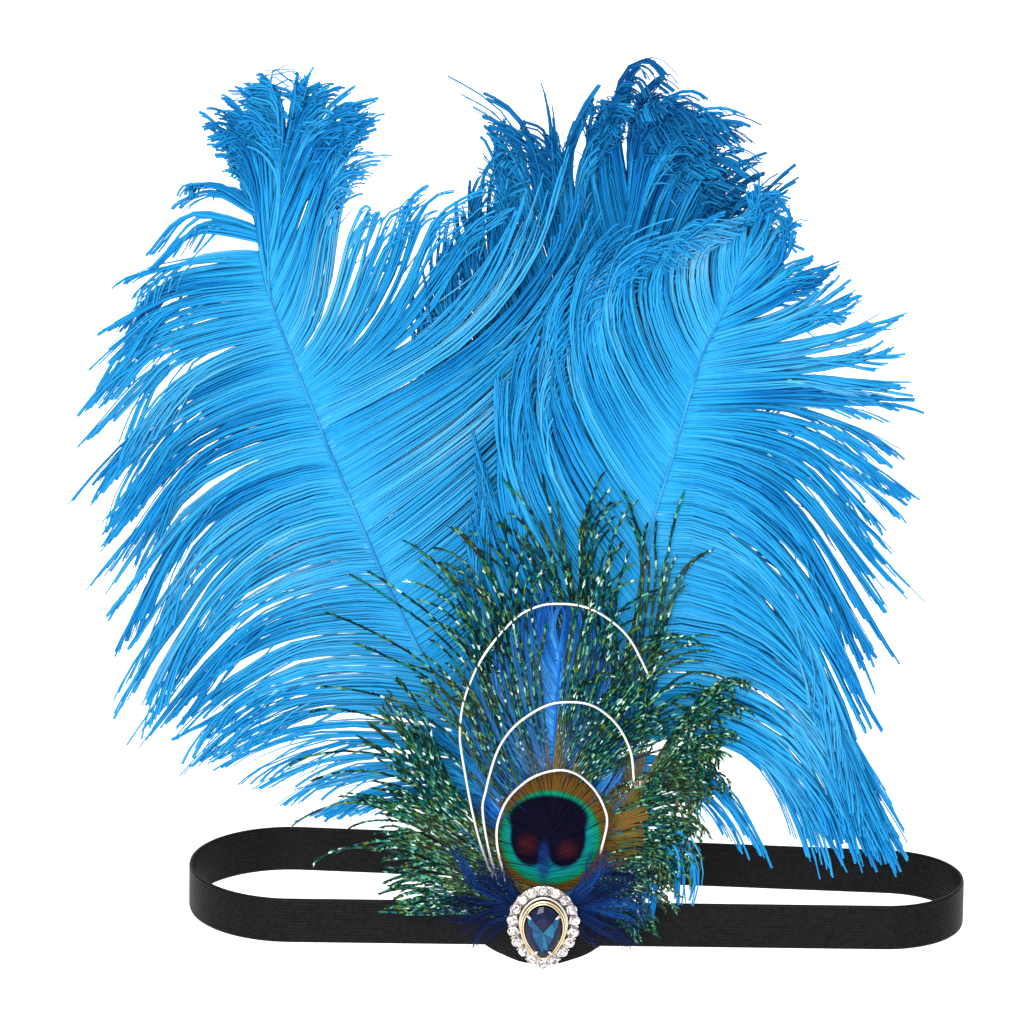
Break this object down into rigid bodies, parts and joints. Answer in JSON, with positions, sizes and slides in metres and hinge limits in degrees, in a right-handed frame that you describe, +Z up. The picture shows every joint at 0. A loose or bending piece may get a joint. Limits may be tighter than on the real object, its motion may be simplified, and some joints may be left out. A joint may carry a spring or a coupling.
{
  "type": "feather headband",
  "caption": "Elastic headband with azure ostrich plumes, a peacock fan with its eye, royal-blue hackle, curled silver wires and a pear-shaped stone brooch.",
  "frame": {"origin": "where the head sits: the middle of the open loop, half way up the elastic band", "axes": "+Y from the ornament through the head to the back of the loop, +Z up along the plumes, +X to the right as seen from the front"},
  "size_m": [0.2716, 0.0891, 0.283],
  "materials": {
    "elastic": "ribbed black elastic webbing",
    "felt": "matte black felt",
    "azure_plume": "fine dyed ostrich barbs, soft and slightly sheened",
    "peacock_green": "dark green peacock herl with gold and green glints",
    "royal_blue": "dyed hackle, satin",
    "silver_wire": "bright silver-plated wire",
    "silver_setting": "polished silver plate, pale gold on the inner rim",
    "teal_stone": "faceted, dark blue-green glass",
    "clear_stone": "faceted, clear glass with a foiled back"
  },
  "bodies": {
    "root": {"elastic_band": "elastic", "felt_backing": "felt", "ostrich_plume_left": "azure_plume", "ostrich_plume_middle": "azure_plume", "ostrich_plume_right": "azure_plume", "peacock_feather_front": "peacock_green", "peacock_feather_back": "peacock_green", "blue_hackle_back": "royal_blue", "blue_tuft_left": "royal_blue", "blue_tuft_right": "royal_blue", "silver_wire_inner": "silver_wire", "silver_wire_middle": "silver_wire", "silver_wire_outer": "silver_wire", "brooch_setting": "silver_setting", "pear_stone": "teal_stone", "halo_stone_01": "clear_stone", "halo_stone_02": "clear_stone", "halo_stone_03": "clear_stone", "halo_stone_04": "clear_stone", "halo_stone_05": "clear_stone", "halo_stone_06": "clear_stone", "halo_stone_07": "clear_stone", "halo_stone_08": "clear_stone", "halo_stone_09": "clear_stone", "halo_stone_10": "clear_stone", "halo_stone_11": "clear_stone", "halo_stone_12": "clear_stone", "halo_stone_13": "clear_stone", "halo_stone_14": "clear_stone", "halo_stone_15": "clear_stone", "halo_stone_16": "clear_stone", "halo_stone_17": "clear_stone", "halo_stone_18": "clear_stone"}
  },
  "joints": []
}
